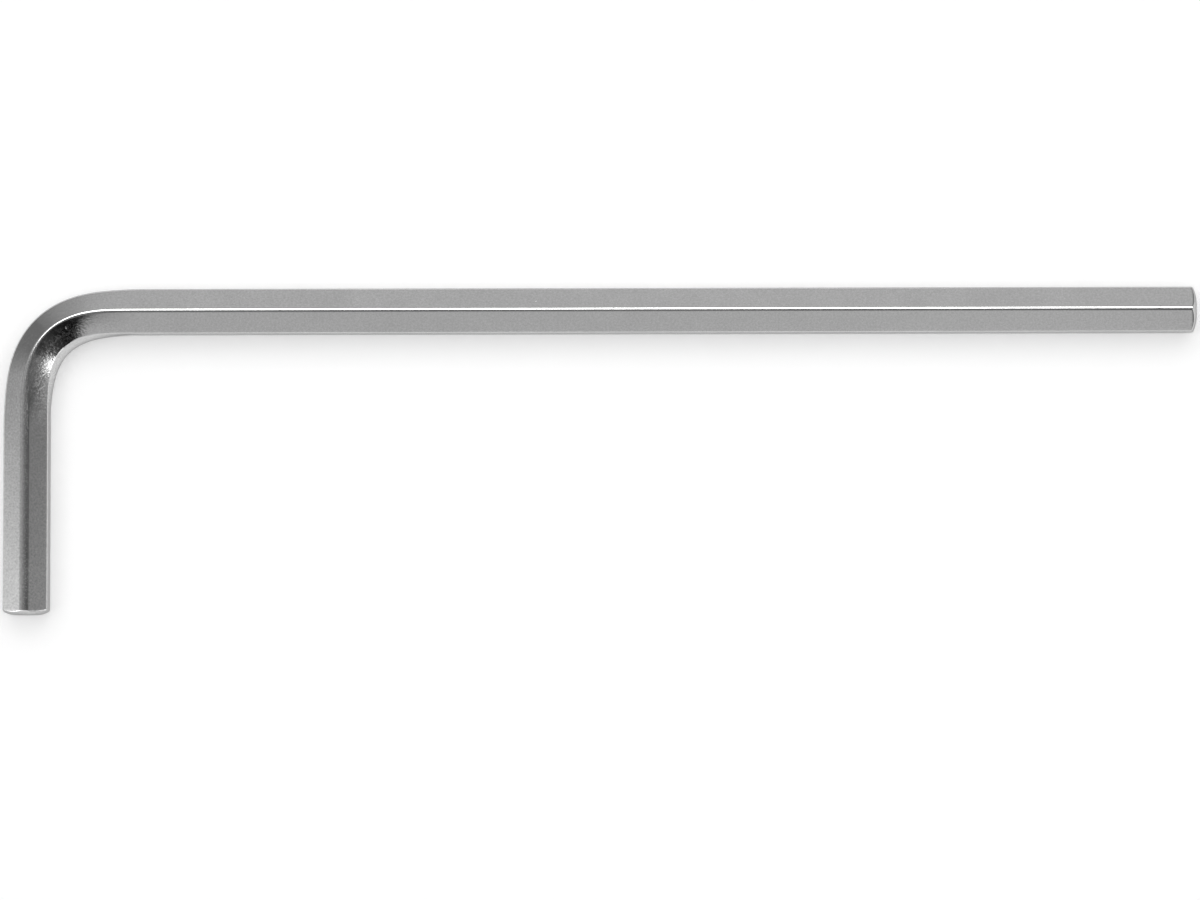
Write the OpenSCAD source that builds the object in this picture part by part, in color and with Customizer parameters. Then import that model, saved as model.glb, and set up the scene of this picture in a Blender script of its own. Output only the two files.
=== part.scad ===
// Long-arm hex key: one length of hexagonal bar, bent once and turned to a crown at both ends.
// The key lies as it comes to rest: the plane of its arms is level, with one edge of the bar below
// and the opposite edge on top. The long arm points to +X and the short arm to -Y. The origin is
// level with the lowest edge, under the middle of the space that the key takes up.

/* [Bar] */
// Distance across the flats of the hexagon
across_flats = 4; // [2.5:0.5:6]
// Radius that the drawn bar has along its six edges
edge_radius = 0.35; // [0.1:0.05:0.5]

/* [Arms] */
// Long arm, from the outer face of the short arm to its tip
long_arm = 106; // [60:1:200]
// Short arm, from the outer face of the long arm to its tip
short_arm = 29; // [26:1:60]

/* [Bend] */
// Length of bar that the bend takes up, along the middle of the bar
bend_length = 17.5; // [14:0.5:24]
// How far the inner face swells into the corner at the middle of the bend
inner_swell = 0.44; // [0:0.02:0.5]
// How far each edge of the inner face moves outwards, up or down, at the middle of the bend
inner_spread = 0.1; // [0:0.02:0.2]
// How far the outer face is drawn in at the middle of the bend
outer_draw = 0.26; // [0:0.02:0.4]

/* [Tips] */
// Diameter of the flat that is left in the middle of each tip
tip_flat_d = 1.8; // [1:0.1:2.4]
// Length over which the crown of a tip cuts back the edges of the bar
tip_crown = 0.48; // [0.2:0.02:0.8]

/* [Hidden] */

// Steps along the bend, round each edge of the bar and over the swollen inner face
bend_steps = 48;
edge_steps = 4;
swell_steps = 6;
arc_fn = 96;

turn = 90;
corner_turn = 60;
half_flats = across_flats / 2;

// Each edge is rounded about a point that lies on this circle
edge_centre_r = (half_flats - edge_radius) / cos(corner_turn / 2);
// Half of the bar's size over two opposite edges, which is how high the middle of the bar lies
half_corners = edge_centre_r + edge_radius;
// Half the width of the flat that two rounded edges leave between them
half_face = edge_centre_r * sin(corner_turn / 2);

// The section of the bar is drawn on a plane across it. x points away from the inside of the bend,
// and y is up. The curvature of the bend rises and fades as a raised cosine, so that the bar leaves
// each arm without a kink: s runs from -1 at the long arm to 1 at the short arm.
function turned(s) = turn / 2 * (1 + s + sin(180 * s) / PI);
function heading(s) = [-cos(turned(s)), -sin(turned(s))];
function outward(s) = [-sin(turned(s)), cos(turned(s))];
function bend_s(i) = 2 * i / bend_steps - 1;
bend_step = bend_length / bend_steps;

// Middle of the bar at each step of the bend, counted from the end of the long arm
bend_path = [
    for (i = 0, p = [0, 0]; i <= bend_steps; p = p + bend_step * heading(bend_s(i + 0.5)), i = i + 1) p
];
// Length of arm from either end of the bend to the point where the middles of the arms would cross
reach = -bend_path[bend_steps].x;

long_straight = long_arm - half_flats - reach;
short_straight = short_arm - half_flats - reach;
bend_start = [long_arm / 2 - long_straight, short_arm / 2 - half_flats];
bend_end = bend_start + bend_path[bend_steps];

// Share of its full squeeze that the section has: none at the arms, all of it at the middle
function squeeze(s) = pow(1 - s * s, 1.5);

function on_circle(r, angle) = r * [cos(angle), sin(angle)];

// Slope of the swollen inner face where it meets its two edges
function roll(amount) = atan(2 * inner_swell * amount / (half_face + inner_spread * amount));

// One rounded edge, counted from the upper outer one. The two edges of the outer face move inwards
// with it. The two edges of the inner face move apart, and end with its slope.
function edge(i, amount) =
    let (
        middle = corner_turn * (i + 0.5),
        drawn = cos(middle) > 0.5 ? outer_draw * amount : 0,
        spread = cos(middle) < -0.5 ? sign(sin(middle)) * inner_spread * amount : 0,
        start = middle - corner_turn / 2 + (i == 3 ? roll(amount) : 0),
        end = middle + corner_turn / 2 - (i == 2 ? roll(amount) : 0)
    )
    [for (j = [0 : edge_steps])
        on_circle(edge_centre_r, middle) + [-drawn, spread]
            + on_circle(edge_radius, start + (end - start) * j / edge_steps)];

// The inner face, between its two edges: flat along the arms, a barrel at the middle of the bend
function inner_face(amount) =
    let (above = edge(2, amount)[edge_steps], barrel = above.y * tan(roll(amount)) / 2)
    [for (j = [1 : swell_steps - 1])
        let (v = 1 - 2 * j / swell_steps)
        [above.x - barrel * (1 - v * v), above.y * v]];

function section(amount) = concat(
    [for (i = [0 : 2]) each edge(i, amount)],
    inner_face(amount),
    [for (i = [3 : 5]) each edge(i, amount)]
);

// Section of the arms, with the same rounded edges as the ends of the bend
module bar_section() {
    polygon([for (i = [0 : 5]) each edge(i, 0)]);
}

// What turning the tip leaves of a round bar of this length: a small flat with a crown around it.
// The crown starts level at the flat and is tip_crown lower where it meets the edges of the bar. It
// goes on past them, so that it cuts the bar cleanly.
module turned_tip(length) {
    flat_r = tip_flat_d / 2;
    width = half_corners - flat_r;
    crown_r = (width * width + tip_crown * tip_crown) / (2 * tip_crown);
    past = width + min(edge_radius, (crown_r - width) / 2);
    drop = crown_r - sqrt(crown_r * crown_r - past * past);
    rotate_extrude($fn = arc_fn) {
        polygon([[0, 0], [flat_r + past, 0], [flat_r + past, length - drop], [flat_r, length], [0, length]]);
        intersection() {
            translate([flat_r, length - crown_r]) circle(r = crown_r, $fn = arc_fn);
            translate([flat_r, length - drop]) square([past, drop]);
        }
    }
}

module arm(length) {
    intersection() {
        linear_extrude(length) bar_section();
        turned_tip(length);
    }
}

// The bend is skinned over one section of the bar per step
module bend() {
    ring = len(section(0));
    points = [
        for (i = [0 : bend_steps])
            let (s = bend_s(i))
            for (p = section(squeeze(s)))
                let (level = bend_path[i] + p.x * outward(s))
                [level.x, level.y, p.y]
    ];
    sides = [
        for (i = [0 : bend_steps - 1], j = [0 : ring - 1])
            let (k = (j + 1) % ring, a = i * ring, b = a + ring)
            each [[a + j, a + k, b + k], [a + j, b + k, b + j]]
    ];
    long_end = [for (j = [ring - 1 : -1 : 0]) j];
    short_end = [for (j = [0 : ring - 1]) bend_steps * ring + j];
    polyhedron(points, concat(sides, [long_end, short_end]));
}

module hex_key() {
    color("silver") translate([0, 0, half_corners]) {
        translate(bend_start) rotate([0, 90, 0]) rotate(90) arm(long_straight);
        translate(bend_start) bend();
        translate(bend_end) rotate([90, 0, 0]) rotate(180) arm(short_straight);
    }
}

hex_key();
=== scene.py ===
"""Looks of a long-arm hex key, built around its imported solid.

All lengths are in metres and in the frame of the part: the long arm points to +X, the short arm to
-Y, and the key lies on its lowest edge at z = 0.
"""
import math

import bpy
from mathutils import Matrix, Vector


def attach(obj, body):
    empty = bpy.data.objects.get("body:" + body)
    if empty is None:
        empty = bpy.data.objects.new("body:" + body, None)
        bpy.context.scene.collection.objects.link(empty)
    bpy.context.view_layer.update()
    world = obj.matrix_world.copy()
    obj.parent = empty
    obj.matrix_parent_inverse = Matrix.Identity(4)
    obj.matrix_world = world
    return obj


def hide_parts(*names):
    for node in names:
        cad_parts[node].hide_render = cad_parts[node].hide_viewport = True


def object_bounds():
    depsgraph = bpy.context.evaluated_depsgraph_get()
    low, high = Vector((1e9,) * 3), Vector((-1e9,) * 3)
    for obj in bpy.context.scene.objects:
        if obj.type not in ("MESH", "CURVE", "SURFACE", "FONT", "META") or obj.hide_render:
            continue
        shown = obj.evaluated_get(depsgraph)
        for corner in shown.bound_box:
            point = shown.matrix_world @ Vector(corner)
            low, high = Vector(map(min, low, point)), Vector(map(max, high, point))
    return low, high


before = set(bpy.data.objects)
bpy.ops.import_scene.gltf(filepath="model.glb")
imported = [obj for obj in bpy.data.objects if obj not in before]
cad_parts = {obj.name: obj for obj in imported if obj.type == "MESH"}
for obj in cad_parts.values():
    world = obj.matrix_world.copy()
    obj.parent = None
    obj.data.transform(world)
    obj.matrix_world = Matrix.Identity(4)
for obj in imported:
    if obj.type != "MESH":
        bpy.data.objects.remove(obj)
cad_low, cad_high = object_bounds()

MM = 0.001

# The bar: its size across, and the radius of its six edges. The top and bottom edges are rounder on
# the short arm.
HALF_FLATS = 2.0 * MM
EDGE_RADIUS = 0.35 * MM
SHORT_EDGE_RADIUS = 0.8 * MM
CORNER_TURN = math.radians(60)
HALF_CORNERS = (HALF_FLATS - EDGE_RADIUS) / math.cos(CORNER_TURN / 2) + EDGE_RADIUS

# The bend, the squeeze of the bar's section in it, and where the top and bottom edges get rounder
TURN = math.radians(90)
BEND_LENGTH = 17.5 * MM
INNER_SWELL = 0.44 * MM
INNER_SPREAD = 0.1 * MM
OUTER_DRAW = 0.26 * MM
SIDE_SWELL = 0.03 * MM
SOFTENS_FROM = -0.2
SOFTENS_TO = 0.9

# The tips: a small flat, a crown round it, and a small rounding where the crown meets the sides
TIP_FLAT_R = 0.9 * MM
TIP_CROWN = 0.48 * MM
TIP_ROUNDING = 0.09 * MM
CROWN_WIDTH = HALF_CORNERS - TIP_FLAT_R
CROWN_R = (CROWN_WIDTH**2 + TIP_CROWN**2) / (2 * TIP_CROWN)

# How finely the surface is divided
EDGE_STEPS = 8
FACE_STEPS = 12
FACE_MARGIN = 0.03
BEND_STEPS = 160
ARM_STEP = 1.5 * MM
ROUNDING_STEPS = 5
CROWN_STEPS = 8
TIP_FLAT_STEPS = 3


def turned(s):
    """Angle that the bar has turned by, where s runs from -1 to 1 along the bend."""
    return TURN / 2 * (1 + s + math.sin(math.pi * s) / math.pi)


def heading(s):
    return Vector((-math.cos(turned(s)), -math.sin(turned(s))))


def outward(s):
    return Vector((-math.sin(turned(s)), math.cos(turned(s))))


def squeeze(s):
    """Share of its full squeeze that the section has at s."""
    return (1 - min(1, s * s)) ** 1.5


def bend_path():
    """Middle of the bar at each step of the bend, counted from the end of the long arm."""
    step = BEND_LENGTH / BEND_STEPS
    path = [Vector((0, 0))]
    for i in range(BEND_STEPS):
        path.append(path[-1] + step * heading(2 * (i + 0.5) / BEND_STEPS - 1))
    return path


def on_circle(radius, angle):
    return Vector((radius * math.cos(angle), radius * math.sin(angle)))


def softness(s):
    """How far the edges have gone from their radius on the long arm to that on the short arm."""
    share = min(1, max(0, (s - SOFTENS_FROM) / (SOFTENS_TO - SOFTENS_FROM)))
    return share * share * (3 - 2 * share)


def edge_radius(i, soft):
    """Radius of one edge: the top and bottom ones get rounder towards the short arm."""
    return EDGE_RADIUS + (soft * (SHORT_EDGE_RADIUS - EDGE_RADIUS) if i in (1, 4) else 0)


def section(amount, soft):
    """Outline of the bar, where x points away from the inside of the bend and y is up."""
    half_face = (HALF_FLATS - EDGE_RADIUS) * math.tan(CORNER_TURN / 2)
    roll = math.atan(2 * INNER_SWELL * amount / (half_face + INNER_SPREAD * amount))
    swells = (0, SIDE_SWELL * amount, 0, SIDE_SWELL * amount, 0, 0)
    outline = []
    for i in range(6):
        middle = CORNER_TURN * (i + 0.5)
        radius = edge_radius(i, soft)
        centre = on_circle((HALF_FLATS - radius) / math.cos(CORNER_TURN / 2), middle)
        if i in (0, 5):
            centre.x -= OUTER_DRAW * amount
        if i in (2, 3):
            centre.y += math.copysign(INNER_SPREAD * amount, centre.y)
        start = middle - CORNER_TURN / 2 + (roll if i == 3 else 0)
        end = middle + CORNER_TURN / 2 - (roll if i == 2 else 0)
        corner = [
            centre + on_circle(radius, start + (end - start) * j / EDGE_STEPS)
            for j in range(EDGE_STEPS + 1)
        ]
        if i == 3:
            outline += face(outline[-1], corner[0], outline[-1].y * math.tan(roll) / 2)
        elif i:
            outline += face(outline[-1], corner[0], swells[i - 1])
        outline += corner
    return outline + face(outline[-1], outline[0], swells[-1])


def face(start, end, swell):
    """Points between two edges, close to each edge and evenly spread between, on a low barrel."""
    shares = [FACE_MARGIN, *[j / FACE_STEPS for j in range(1, FACE_STEPS)], 1 - FACE_MARGIN]
    out = Vector((end.y - start.y, start.x - end.x)).normalized()
    return [start.lerp(end, v) + out * swell * 4 * v * (1 - v) for v in shares]


def ring_at(middle, across, amount, soft):
    """The section set upright at a point of the bar, with across pointing away from the inside."""
    outline = section(amount, soft)
    flat = [middle + p.x * across for p in outline]
    return [Vector((q.x, q.y, HALF_CORNERS + p.y)) for q, p in zip(flat, outline)]


def tip_rings(end, along, across, soft):
    """Rings from the side of the bar over its crowned tip. end is the middle of the tip's flat."""
    outline = section(0, soft)
    crown_centre = -CROWN_R
    rings = []
    for k in range(ROUNDING_STEPS + CROWN_STEPS + TIP_FLAT_STEPS + 1):
        ring = []
        for p in outline:
            reach = p.length
            inner_reach = reach - TIP_ROUNDING - TIP_FLAT_R
            meet = math.asin(inner_reach / (CROWN_R - TIP_ROUNDING))
            if k <= ROUNDING_STEPS:
                angle = math.pi / 2 + (meet - math.pi / 2) * k / ROUNDING_STEPS
                level = crown_centre + math.sqrt((CROWN_R - TIP_ROUNDING) ** 2 - inner_reach**2)
                r = reach - TIP_ROUNDING + TIP_ROUNDING * math.sin(angle)
                z = level + TIP_ROUNDING * math.cos(angle)
            elif k <= ROUNDING_STEPS + CROWN_STEPS:
                angle = meet * (1 - (k - ROUNDING_STEPS) / CROWN_STEPS)
                r = TIP_FLAT_R + CROWN_R * math.sin(angle)
                z = crown_centre + CROWN_R * math.cos(angle)
            else:
                r = TIP_FLAT_R * (1 - (k - ROUNDING_STEPS - CROWN_STEPS) / (TIP_FLAT_STEPS + 1))
                z = 0
            q = end + along * z + across * (p.x * r / reach)
            ring.append(Vector((q.x, q.y, HALF_CORNERS + p.y * r / reach)))
        rings.append(ring)
    return rings


def key_rings():
    """Rings from the long arm's tip to the short arm's, with the squeeze and softness at each."""
    path = bend_path()
    reach = -path[-1].x
    long_tip = Vector((cad_high.x, cad_high.y - HALF_FLATS))
    short_tip = Vector((cad_low.x + HALF_FLATS, cad_low.y))
    bend_start = Vector((short_tip.x + reach, long_tip.y))
    bend_end = bend_start + path[-1]
    rings = []
    for ring in reversed(tip_rings(long_tip, -heading(-1), outward(-1), 0)):
        rings.append((ring, 0, 0))
    room = (long_tip - bend_start).length - TIP_CROWN - TIP_ROUNDING
    steps = round(room / ARM_STEP)
    for i in range(steps):
        middle = bend_start - heading(-1) * room * (1 - i / steps)
        rings.append((ring_at(middle, outward(-1), 0, 0), 0, 0))
    for i, p in enumerate(path):
        s = 2 * i / BEND_STEPS - 1
        ring = ring_at(bend_start + p, outward(s), squeeze(s), softness(s))
        rings.append((ring, squeeze(s), softness(s)))
    room = (short_tip - bend_end).length - TIP_CROWN - TIP_ROUNDING
    steps = round(room / ARM_STEP)
    for i in range(1, steps + 1):
        middle = bend_end + heading(1) * room * i / steps
        rings.append((ring_at(middle, outward(1), 0, 1), 0, 1))
    for ring in tip_rings(short_tip, heading(1), outward(1), 1):
        rings.append((ring, 0, 1))
    return rings


def build_key():
    """The key as one closed skin, with the measures along and round the bar kept on its points."""
    rings = key_rings()
    size = len(rings[0][0])
    points, along, around, bend_share, soft_share, inside = [], [], [], [], [], []
    outline = section(0, 0)
    travelled = 0
    for k, (ring, amount, soft) in enumerate(rings):
        if k:
            travelled += (middle_of(ring) - middle_of(rings[k - 1][0])).length
        walked = 0
        for j, p in enumerate(ring):
            points.append(p)
            along.append(travelled)
            around.append(walked)
            walked += (outline[(j + 1) % size] - outline[j]).length
            bend_share.append(amount)
            soft_share.append(soft)
            inside.append(max(0, -outline[j].x / HALF_FLATS))
    faces = [
        (k * size + j, (k + 1) * size + j, (k + 1) * size + (j + 1) % size, k * size + (j + 1) % size)
        for k in range(len(rings) - 1)
        for j in range(size)
    ]
    first = len(points)
    last = first + 1
    points += [middle_of(rings[0][0]), middle_of(rings[-1][0])]
    along += (0, travelled)
    soft_share += (0, 1)
    for values in (around, bend_share, inside):
        values += (0, 0)
    base = (len(rings) - 1) * size
    faces += [(first, j, (j + 1) % size) for j in range(size)]
    faces += [(last, base + (j + 1) % size, base + j) for j in range(size)]
    mesh = bpy.data.meshes.new("hex_key_skin")
    mesh.from_pydata(points, [], faces)
    for name, values in (
        ("along", along), ("around", around), ("bend_share", bend_share), ("soft_share", soft_share),
        ("inside", inside),
    ):
        mesh.attributes.new(name, "FLOAT", "POINT").data.foreach_set("value", values)
    mesh.shade_smooth()
    key = bpy.data.objects.new("hex_key_skin", mesh)
    bpy.context.scene.collection.objects.link(key)
    return key


def middle_of(ring):
    return sum(ring, Vector()) / len(ring)


def node(tree, kind, inputs=None, **settings):
    """A new node, with its inputs set to values or linked to other nodes' outputs."""
    made = tree.nodes.new(kind)
    for name, value in settings.items():
        setattr(made, name, value)
    for name, value in (inputs or {}).items():
        if isinstance(value, bpy.types.NodeSocket):
            tree.links.new(value, made.inputs[name])
        else:
            made.inputs[name].default_value = value
    return made


def maths(tree, operation, first, second=0.0):
    return node(tree, "ShaderNodeMath", {0: first, 1: second}, operation=operation).outputs[0]


def scaled(tree, value, low, high, out_low, out_high):
    """value, mapped from one range to another and kept inside it."""
    inputs = {"Value": value, "From Min": low, "From Max": high, "To Min": out_low, "To Max": out_high}
    return node(tree, "ShaderNodeMapRange", inputs).outputs[0]


def empty_material(name):
    material = bpy.data.materials.new(name)
    material.use_nodes = True
    material.node_tree.nodes.clear()
    return material, material.node_tree


def attribute(tree, name):
    return node(tree, "ShaderNodeAttribute", attribute_name=name).outputs["Fac"]


def noise(tree, place, feature, detail=2.0, roughness=0.5):
    """Noise whose humps are about one feature, in metres, apart."""
    inputs = {"Vector": place, "Scale": 1 / feature, "Detail": detail, "Roughness": roughness}
    return node(tree, "ShaderNodeTexNoise", inputs).outputs["Fac"]


def bump(tree, height, depth, under=None):
    inputs = {"Height": height, "Distance": depth}
    if under is not None:
        inputs["Normal"] = under
    return node(tree, "ShaderNodeBump", inputs).outputs["Normal"]


# The metal: nickel grey, with speckles that are stronger on the short arm, a fine grain, faint lines
# along the bar from the drawing, and an orange peel where the bend has squeezed the inner faces
BASE_GREY = 0.58
CLOUD = 4 * MM
CLOUD_SPREAD = 0.02
CLOUD_RANGE = (0.3, 0.7)
SPECKLE = 0.17 * MM
LONG_SPECKLE_SPREAD = 0.05
SHORT_SPECKLE_SPREAD = 0.09
SPECKLE_RANGE = (0.25, 0.75)
EDGE_TINT = 0.55
GRAIN = 0.16 * MM
GRAIN_DEPTH = 0.0012 * MM
DRAWN_LINE = 0.07 * MM
DRAWN_LINE_LENGTH = 12 * MM
DRAWN_DEPTH = 0.0002 * MM
PEEL = 0.2 * MM
PEEL_DEPTH = 0.012 * MM
PEEL_FULL_AT = 0.5
# Blotches in the bend, where a dull film spreads a little of the light
BLOTCH = 0.26 * MM
LONG_FILM = 0.06
SHORT_FILM = 0.42
FILM_FULL_AT = 0.6
BLOTCH_RANGE = (0.46, 0.62)
# Marks of use, each with its place and its radius in millimetres: a speck on the outer flat of the
# long arm, a nick on its top edge and a pit in the bend
MARKS = ((-5.6, 13.3, 0.09), (49.6, 12.6, 0.16), (-47.3, 11.0, 0.14))
MARK_DEPTH = 0.02 * MM
SMOOTH_ROUGHNESS = 0.1
CLOUDY_ROUGHNESS = 0.14


def mark(tree, place, x, y, radius):
    """How deep the surface is dented at a small mark, from 0 to 1."""
    gap = node(tree, "ShaderNodeVectorMath", {0: place, 1: (x * MM, y * MM, 0)}, operation="SUBTRACT")
    level = node(tree, "ShaderNodeVectorMath", {0: gap.outputs[0], 1: (1, 1, 0)}, operation="MULTIPLY")
    reach = node(tree, "ShaderNodeVectorMath", {0: level.outputs[0]}, operation="LENGTH").outputs["Value"]
    return scaled(tree, reach, 0, radius * MM, 1, 0)


def steel_material():
    material, tree = empty_material("satin_steel")
    place = node(tree, "ShaderNodeTexCoord").outputs["Object"]
    along = attribute(tree, "along")
    around = attribute(tree, "around")
    bent = maths(tree, "POWER", attribute(tree, "bend_share"), 0.5)
    inside = scaled(tree, attribute(tree, "inside"), 0, PEEL_FULL_AT, 0, 1)
    squeezed = maths(tree, "MULTIPLY", bent, inside)
    softened = attribute(tree, "soft_share")

    stretched = maths(tree, "DIVIDE", along, DRAWN_LINE_LENGTH / DRAWN_LINE)
    line_place = node(tree, "ShaderNodeCombineXYZ", {"X": stretched, "Y": around}).outputs[0]
    lines = noise(tree, line_place, DRAWN_LINE)
    grain = noise(tree, place, GRAIN, detail=3.0, roughness=0.6)
    peel = maths(tree, "MULTIPLY", noise(tree, place, PEEL, detail=3.0, roughness=0.6), squeezed)
    clouds = noise(tree, place, CLOUD, detail=4.0)
    speckle = noise(tree, place, SPECKLE, detail=2.0)

    relief = bump(tree, lines, DRAWN_DEPTH)
    relief = bump(tree, grain, GRAIN_DEPTH, relief)
    relief = bump(tree, peel, PEEL_DEPTH, relief)
    for x, y, radius in MARKS:
        relief = bump(tree, mark(tree, place, x, y, radius), MARK_DEPTH, relief)

    blotches = noise(tree, place, BLOTCH, detail=4.0, roughness=0.65)
    blotches = scaled(tree, blotches, *BLOTCH_RANGE, 0, 1)
    film = scaled(tree, softened, 0, FILM_FULL_AT, LONG_FILM, SHORT_FILM)
    film = maths(tree, "MULTIPLY", maths(tree, "MULTIPLY", blotches, film), squeezed)
    grey = scaled(tree, clouds, *CLOUD_RANGE, BASE_GREY - CLOUD_SPREAD, BASE_GREY + CLOUD_SPREAD)
    spread = scaled(tree, softened, 0, 1, LONG_SPECKLE_SPREAD, SHORT_SPECKLE_SPREAD)
    speckle = maths(tree, "MULTIPLY", scaled(tree, speckle, *SPECKLE_RANGE, -1, 1), spread)
    grey = maths(tree, "ADD", grey, speckle)
    colour = node(tree, "ShaderNodeCombineColor", {"Red": grey, "Green": grey, "Blue": grey}).outputs[0]
    roughness = scaled(tree, clouds, *CLOUD_RANGE, SMOOTH_ROUGHNESS, CLOUDY_ROUGHNESS)
    shader = node(
        tree, "ShaderNodeBsdfPrincipled",
        {
            "Base Color": colour, "Metallic": maths(tree, "SUBTRACT", 1.0, film),
            "Roughness": roughness, "Normal": relief,
            "Specular Tint": (EDGE_TINT, EDGE_TINT, EDGE_TINT, 1),
        },
    )
    node(tree, "ShaderNodeOutputMaterial", {"Surface": shader.outputs[0]})
    return material


key = build_key()
key.data.materials.append(steel_material())
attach(key, "root")
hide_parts("hex_key")


# The studio. The key is metal, so it shows what stands around it: pale cards on four sides with a
# dark gap between two of them, a soft box above the long arm, low lamps beyond the bend and before
# the short arm, and a grey ceiling that is dark over the gap. Only reflections see these. Lengths
# here are in millimetres, and places are counted along a card from its start.
CEILING = 1400
CEILING_HALF = 2400
CEILING_FRONT = -1200
STRONGEST = 8.0
DARK = 0.015
EVEN = ((0, 1), (1, 1))


def ramp(tree, share, stops, top=1.0):
    """Grey that goes from one stop to the next, each of them a share of the way and a strength."""
    made = node(tree, "ShaderNodeValToRGB", {"Fac": share})
    for i, (place, strength) in enumerate(stops):
        stop = made.color_ramp.elements[i] if i < 2 else made.color_ramp.elements.new(place)
        stop.position = place
        stop.color = (strength / top, strength / top, strength / top, 1)
    return made.outputs["Color"]


def card_material(name, stops, rises, lean):
    """Light whose strength changes along the card, by stops, and up the card, by rises."""
    material, tree = empty_material(name)
    across, up = node(
        tree, "ShaderNodeSeparateXYZ", {"Vector": node(tree, "ShaderNodeTexCoord").outputs["UV"]}
    ).outputs[:2]
    leant = maths(tree, "ADD", across, maths(tree, "MULTIPLY", up, lean))
    strength = maths(tree, "MULTIPLY", ramp(tree, up, rises), STRONGEST)
    colour = ramp(tree, leant, stops, STRONGEST)
    light = node(tree, "ShaderNodeEmission", {"Color": colour, "Strength": strength})
    node(tree, "ShaderNodeOutputMaterial", {"Surface": light.outputs[0]})
    return material


def card(name, corner, across, up, stops, rises=EVEN, lean=0.0):
    """A flat card from a corner, with the two sides across and up, that only reflections see."""
    corner = Vector(corner) * MM
    across = Vector(across) * MM
    up = Vector(up) * MM
    mesh = bpy.data.meshes.new(name)
    mesh.from_pydata([corner, corner + across, corner + across + up, corner + up], [], [(0, 1, 2, 3)])
    mesh.uv_layers.new(name="card").uv.foreach_set("vector", (0, 0, 1, 0, 1, 1, 0, 1))
    mesh.materials.append(card_material(name, stops, rises, lean))
    made = bpy.data.objects.new(name, mesh)
    bpy.context.scene.collection.objects.link(made)
    made.visible_camera = False
    made.visible_diffuse = False
    made.visible_shadow = False
    made.visible_transmission = False


def wall(name, start, end, height, places, rises=(), lean=0.0):
    """An upright card from start to end, with its strengths along it and the shares of them up it.

    lean is how far the places move back along the card for each millimetre of height.
    """
    start = Vector((*start, 0))
    end = Vector((*end, 0))
    length = (end - start).length
    stops = [(place / length, strength) for place, strength in places]
    rises = [(z / height, share) for z, share in rises] or EVEN
    card(name, start, end - start, (0, 0, height), stops, rises, lean * height / length)


# Corners where the cards start and end
BACK_LEFT = (-300, 250)
BACK_RIGHT = (200, 250)
LEFT_FRONT = (-300, -200)
FRONT_LEFT = (-900, -1200)
FRONT_RIGHT = (800, -1200)
GAP_END = (200, -165)

# Back card, seen by the outer flat of the long arm
BACK_HEIGHT = 190
BACK_PLACES = ((0, 0.26), (50, 0.3), (165, 0.5), (220, 0.64), (385, 0.66), (410, 0.06), (500, 0.06))
wall("back_card", BACK_LEFT, BACK_RIGHT, BACK_HEIGHT, BACK_PLACES)

# Left card, seen by the outer flat of the short arm
LEFT_HEIGHT = 165
LEFT_PLACES = (
    (0, 1.1), (190, 1.1), (204, 0.8), (215, 0.6), (227, 0.51), (260, 0.49), (285, 0.36), (330, 0.24),
    (450, 0.21),
)
LEFT_RISES = ((0, 1), (124, 1), (165, 0.35))
wall("left_card", LEFT_FRONT, BACK_LEFT, LEFT_HEIGHT, LEFT_PLACES, LEFT_RISES)

# Front card, seen by the inner flat of the long arm. Its right edge leans to the left, and it fades
# towards a dark strip under the ceiling.
FRONT_PLACES = (
    (0, 0.62), (1090, 0.63), (1240, 0.65), (1370, 0.69), (1440, 0.72), (1490, 0.55), (1590, 0.07),
    (1680, DARK),
)
FRONT_RISES = (
    (0, 1), (830, 1), (910, 0.83), (980, 0.78), (1080, 0.66), (1150, 0.5), (1190, 0.03), (1400, 0.02),
)
FRONT_LEAN = 0.43
wall("front_card", FRONT_LEFT, FRONT_RIGHT, CEILING, FRONT_PLACES, FRONT_RISES, FRONT_LEAN)

# Dark gap, seen in the bend
GAP_PLACES = ((0, DARK), (1196, 0.05))
wall("dark_gap", FRONT_RIGHT, GAP_END, CEILING, GAP_PLACES)

# Right card, seen by the inner flat of the short arm
RIGHT_HEIGHT = 300
RIGHT_PLACES = (
    (0, 0.05), (24, 0.12), (45, 0.28), (68, 0.42), (97, 0.48), (125, 0.45), (160, 0.42), (167, 0.39),
    (175, 0.36), (182, 0.34), (190, 0.31), (215, 0.2), (235, 0.06), (415, 0.06),
)
RIGHT_RISES = ((0, 1), (190, 1), (212, 0.35), (300, 0.4))
wall("right_card", GAP_END, BACK_RIGHT, RIGHT_HEIGHT, RIGHT_PLACES, RIGHT_RISES)

# Soft box above the long arm, which fades in from its left end: its near left corner, its two sides,
# and its strengths at shares of its length
BOX_CORNER = (-290, 102.5, 400)
BOX_LENGTH = (500, -37.5, 0)
BOX_DEPTH = (110, 300, 0)
BOX_STOPS = ((0, 0.25), (0.06, 1.0), (0.16, 6.0), (1, 6.0))
card("soft_box", BOX_CORNER, BOX_LENGTH, BOX_DEPTH, BOX_STOPS)

# Low lamp beyond the bend, for the flare in its corner
LAMP_START = (190, -122)
LAMP_END = (190, -42)
LAMP_HEIGHT = 230
LAMP_PLACES = ((0, 0.3), (16, 4.2), (64, 4.2), (80, 0.3))
LAMP_RISES = ((0, 0.4), (90, 0.4), (110, 1), (174, 1), (194, 0.5), (212, 0.22), (230, 0.06))
wall("low_lamp", LAMP_START, LAMP_END, LAMP_HEIGHT, LAMP_PLACES, LAMP_RISES)

# Glow under that lamp, seen by the side of the bend
GLOW_START = (100, -150)
GLOW_END = (150, -85)
GLOW_HEIGHT = 60
GLOW_PLACES = ((0, 2), (80, 2))
wall("low_glow", GLOW_START, GLOW_END, GLOW_HEIGHT, GLOW_PLACES)

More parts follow.
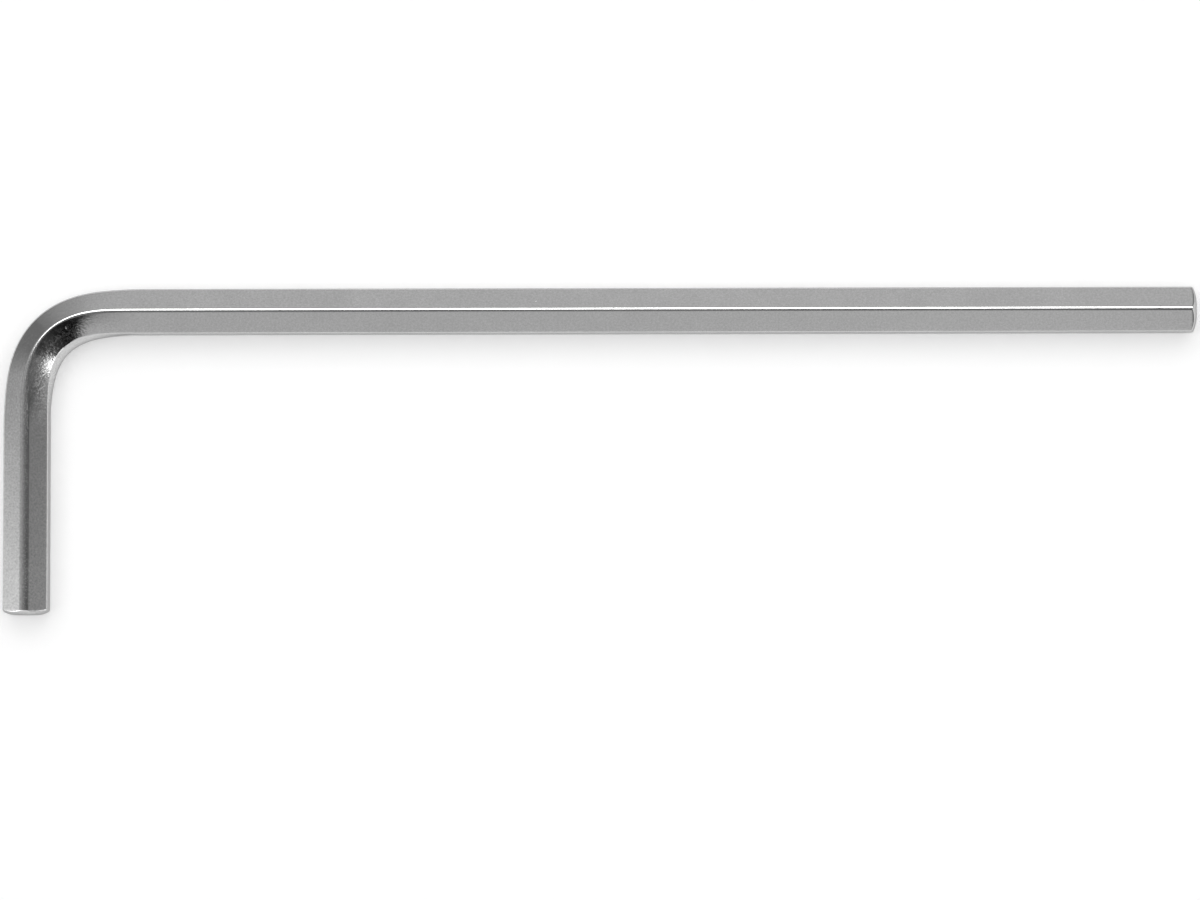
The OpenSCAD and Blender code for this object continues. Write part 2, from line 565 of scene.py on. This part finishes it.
# Low lamp before the short arm, seen in its tip
TIP_LAMP_START = (-265, -125)
TIP_LAMP_END = (-110, -290)
TIP_LAMP_HEIGHT = 90
TIP_LAMP_PLACES = ((0, 5), (226, 5))
wall("tip_lamp", TIP_LAMP_START, TIP_LAMP_END, TIP_LAMP_HEIGHT, TIP_LAMP_PLACES)

# Ceiling, in two parts whose strengths change from left to right. The front one is dark over the gap.
CEILING_SPLIT = -420
FRONT_CEILING = (
    (0, 0.2), (2100, 0.2), (2250, 0.3), (2560, 0.3), (2630, DARK), (3300, DARK), (3600, 0.12),
)
BACK_CEILING = (
    (0, 0.54), (716, 0.52), (1354, 0.44), (1783, 0.35), (2137, 0.26), (2471, 0.22), (2804, 0.15),
    (3200, 0.13), (3759, 0.22),
)


def ceiling(name, front, back, places):
    width = 2 * CEILING_HALF
    stops = [(place / width, strength) for place, strength in places]
    card(name, (-CEILING_HALF, front, CEILING), (width, 0, 0), (0, back - front, 0), stops)


ceiling("front_ceiling", CEILING_FRONT, CEILING_SPLIT, FRONT_CEILING)
ceiling("back_ceiling", CEILING_SPLIT, CEILING_HALF, BACK_CEILING)

# The floor: pale, lit by a wide lamp from above and by the world, with the key's soft shadow
FLOOR_HALF = 3.0
FLOOR_COLOUR = 0.75
FLOOR_LIFT = 0.3
FLOOR_LAMP_WIDTH = 800 * MM
FLOOR_LAMP_POWER = 3.0
FLOOR_LAMP_PLACE = (0, 150 * MM, 600 * MM)
FLOOR_LAMP_TILT = math.radians(-14)
WORLD_STRENGTH = 0.6


def floor_material():
    """Plain pale paper, lifted towards white for the camera and for what the metal reflects."""
    material, tree = empty_material("floor")
    diffuse = node(tree, "ShaderNodeBsdfDiffuse", {"Color": (FLOOR_COLOUR, FLOOR_COLOUR, FLOOR_COLOUR, 1)})
    rays = node(tree, "ShaderNodeLightPath").outputs
    seen = maths(tree, "MAXIMUM", rays["Is Camera Ray"], rays["Is Glossy Ray"])
    seen = maths(tree, "MAXIMUM", seen, rays["Is Transmission Ray"])
    lift = node(tree, "ShaderNodeEmission", {"Strength": maths(tree, "MULTIPLY", seen, FLOOR_LIFT)})
    both = node(tree, "ShaderNodeAddShader", {0: diffuse.outputs[0], 1: lift.outputs[0]})
    node(tree, "ShaderNodeOutputMaterial", {"Surface": both.outputs[0]})
    return material


def make_floor():
    mesh = bpy.data.meshes.new("floor")
    h = FLOOR_HALF
    mesh.from_pydata([(-h, -h, 0), (h, -h, 0), (h, h, 0), (-h, h, 0)], [], [(0, 1, 2, 3)])
    mesh.materials.append(floor_material())
    floor = bpy.data.objects.new("floor", mesh)
    bpy.context.scene.collection.objects.link(floor)


def make_world():
    """Even light from all round, and white where the camera or the metal looks past the floor."""
    world = bpy.data.worlds.new("studio")
    world.use_nodes = True
    tree = world.node_tree
    tree.nodes.clear()
    rays = node(tree, "ShaderNodeLightPath").outputs
    seen = maths(tree, "MAXIMUM", rays["Is Camera Ray"], rays["Is Glossy Ray"])
    seen = maths(tree, "MAXIMUM", seen, rays["Is Transmission Ray"])
    light = node(tree, "ShaderNodeBackground", {"Strength": scaled(tree, seen, 0, 1, WORLD_STRENGTH, 1)})
    node(tree, "ShaderNodeOutputWorld", {"Surface": light.outputs[0]})
    bpy.context.scene.world = world


def make_lamp():
    """A wide lamp that lights the floor and isn't seen in the metal."""
    lamp = bpy.data.objects.new("lamp", bpy.data.lights.new("lamp", "AREA"))
    lamp.data.size = FLOOR_LAMP_WIDTH
    lamp.data.energy = FLOOR_LAMP_POWER
    lamp.location = FLOOR_LAMP_PLACE
    lamp.rotation_euler = (FLOOR_LAMP_TILT, 0, 0)
    lamp.visible_glossy = False
    bpy.context.scene.collection.objects.link(lamp)


make_floor()
make_world()
make_lamp()

# The photograph's camera, nearly overhead and a little towards -Y. Its turn is in degrees.
SENSOR_WIDTH = 36
LENS = 171.6414
CAMERA_PLACE = (9.4116 * MM, -28.0548 * MM, 509.989 * MM)
CAMERA_TURN = (3.1777, 1.0571, -0.1059)


def make_camera():
    camera = bpy.data.objects.new("camera", bpy.data.cameras.new("camera"))
    camera.data.sensor_width = SENSOR_WIDTH
    camera.data.lens = LENS
    camera.location = CAMERA_PLACE
    camera.rotation_mode = "ZYX"
    camera.rotation_euler = [math.radians(angle) for angle in CAMERA_TURN]
    bpy.context.scene.collection.objects.link(camera)
    bpy.context.scene.camera = camera


make_camera()
bpy.context.scene.view_settings.view_transform = "Standard"
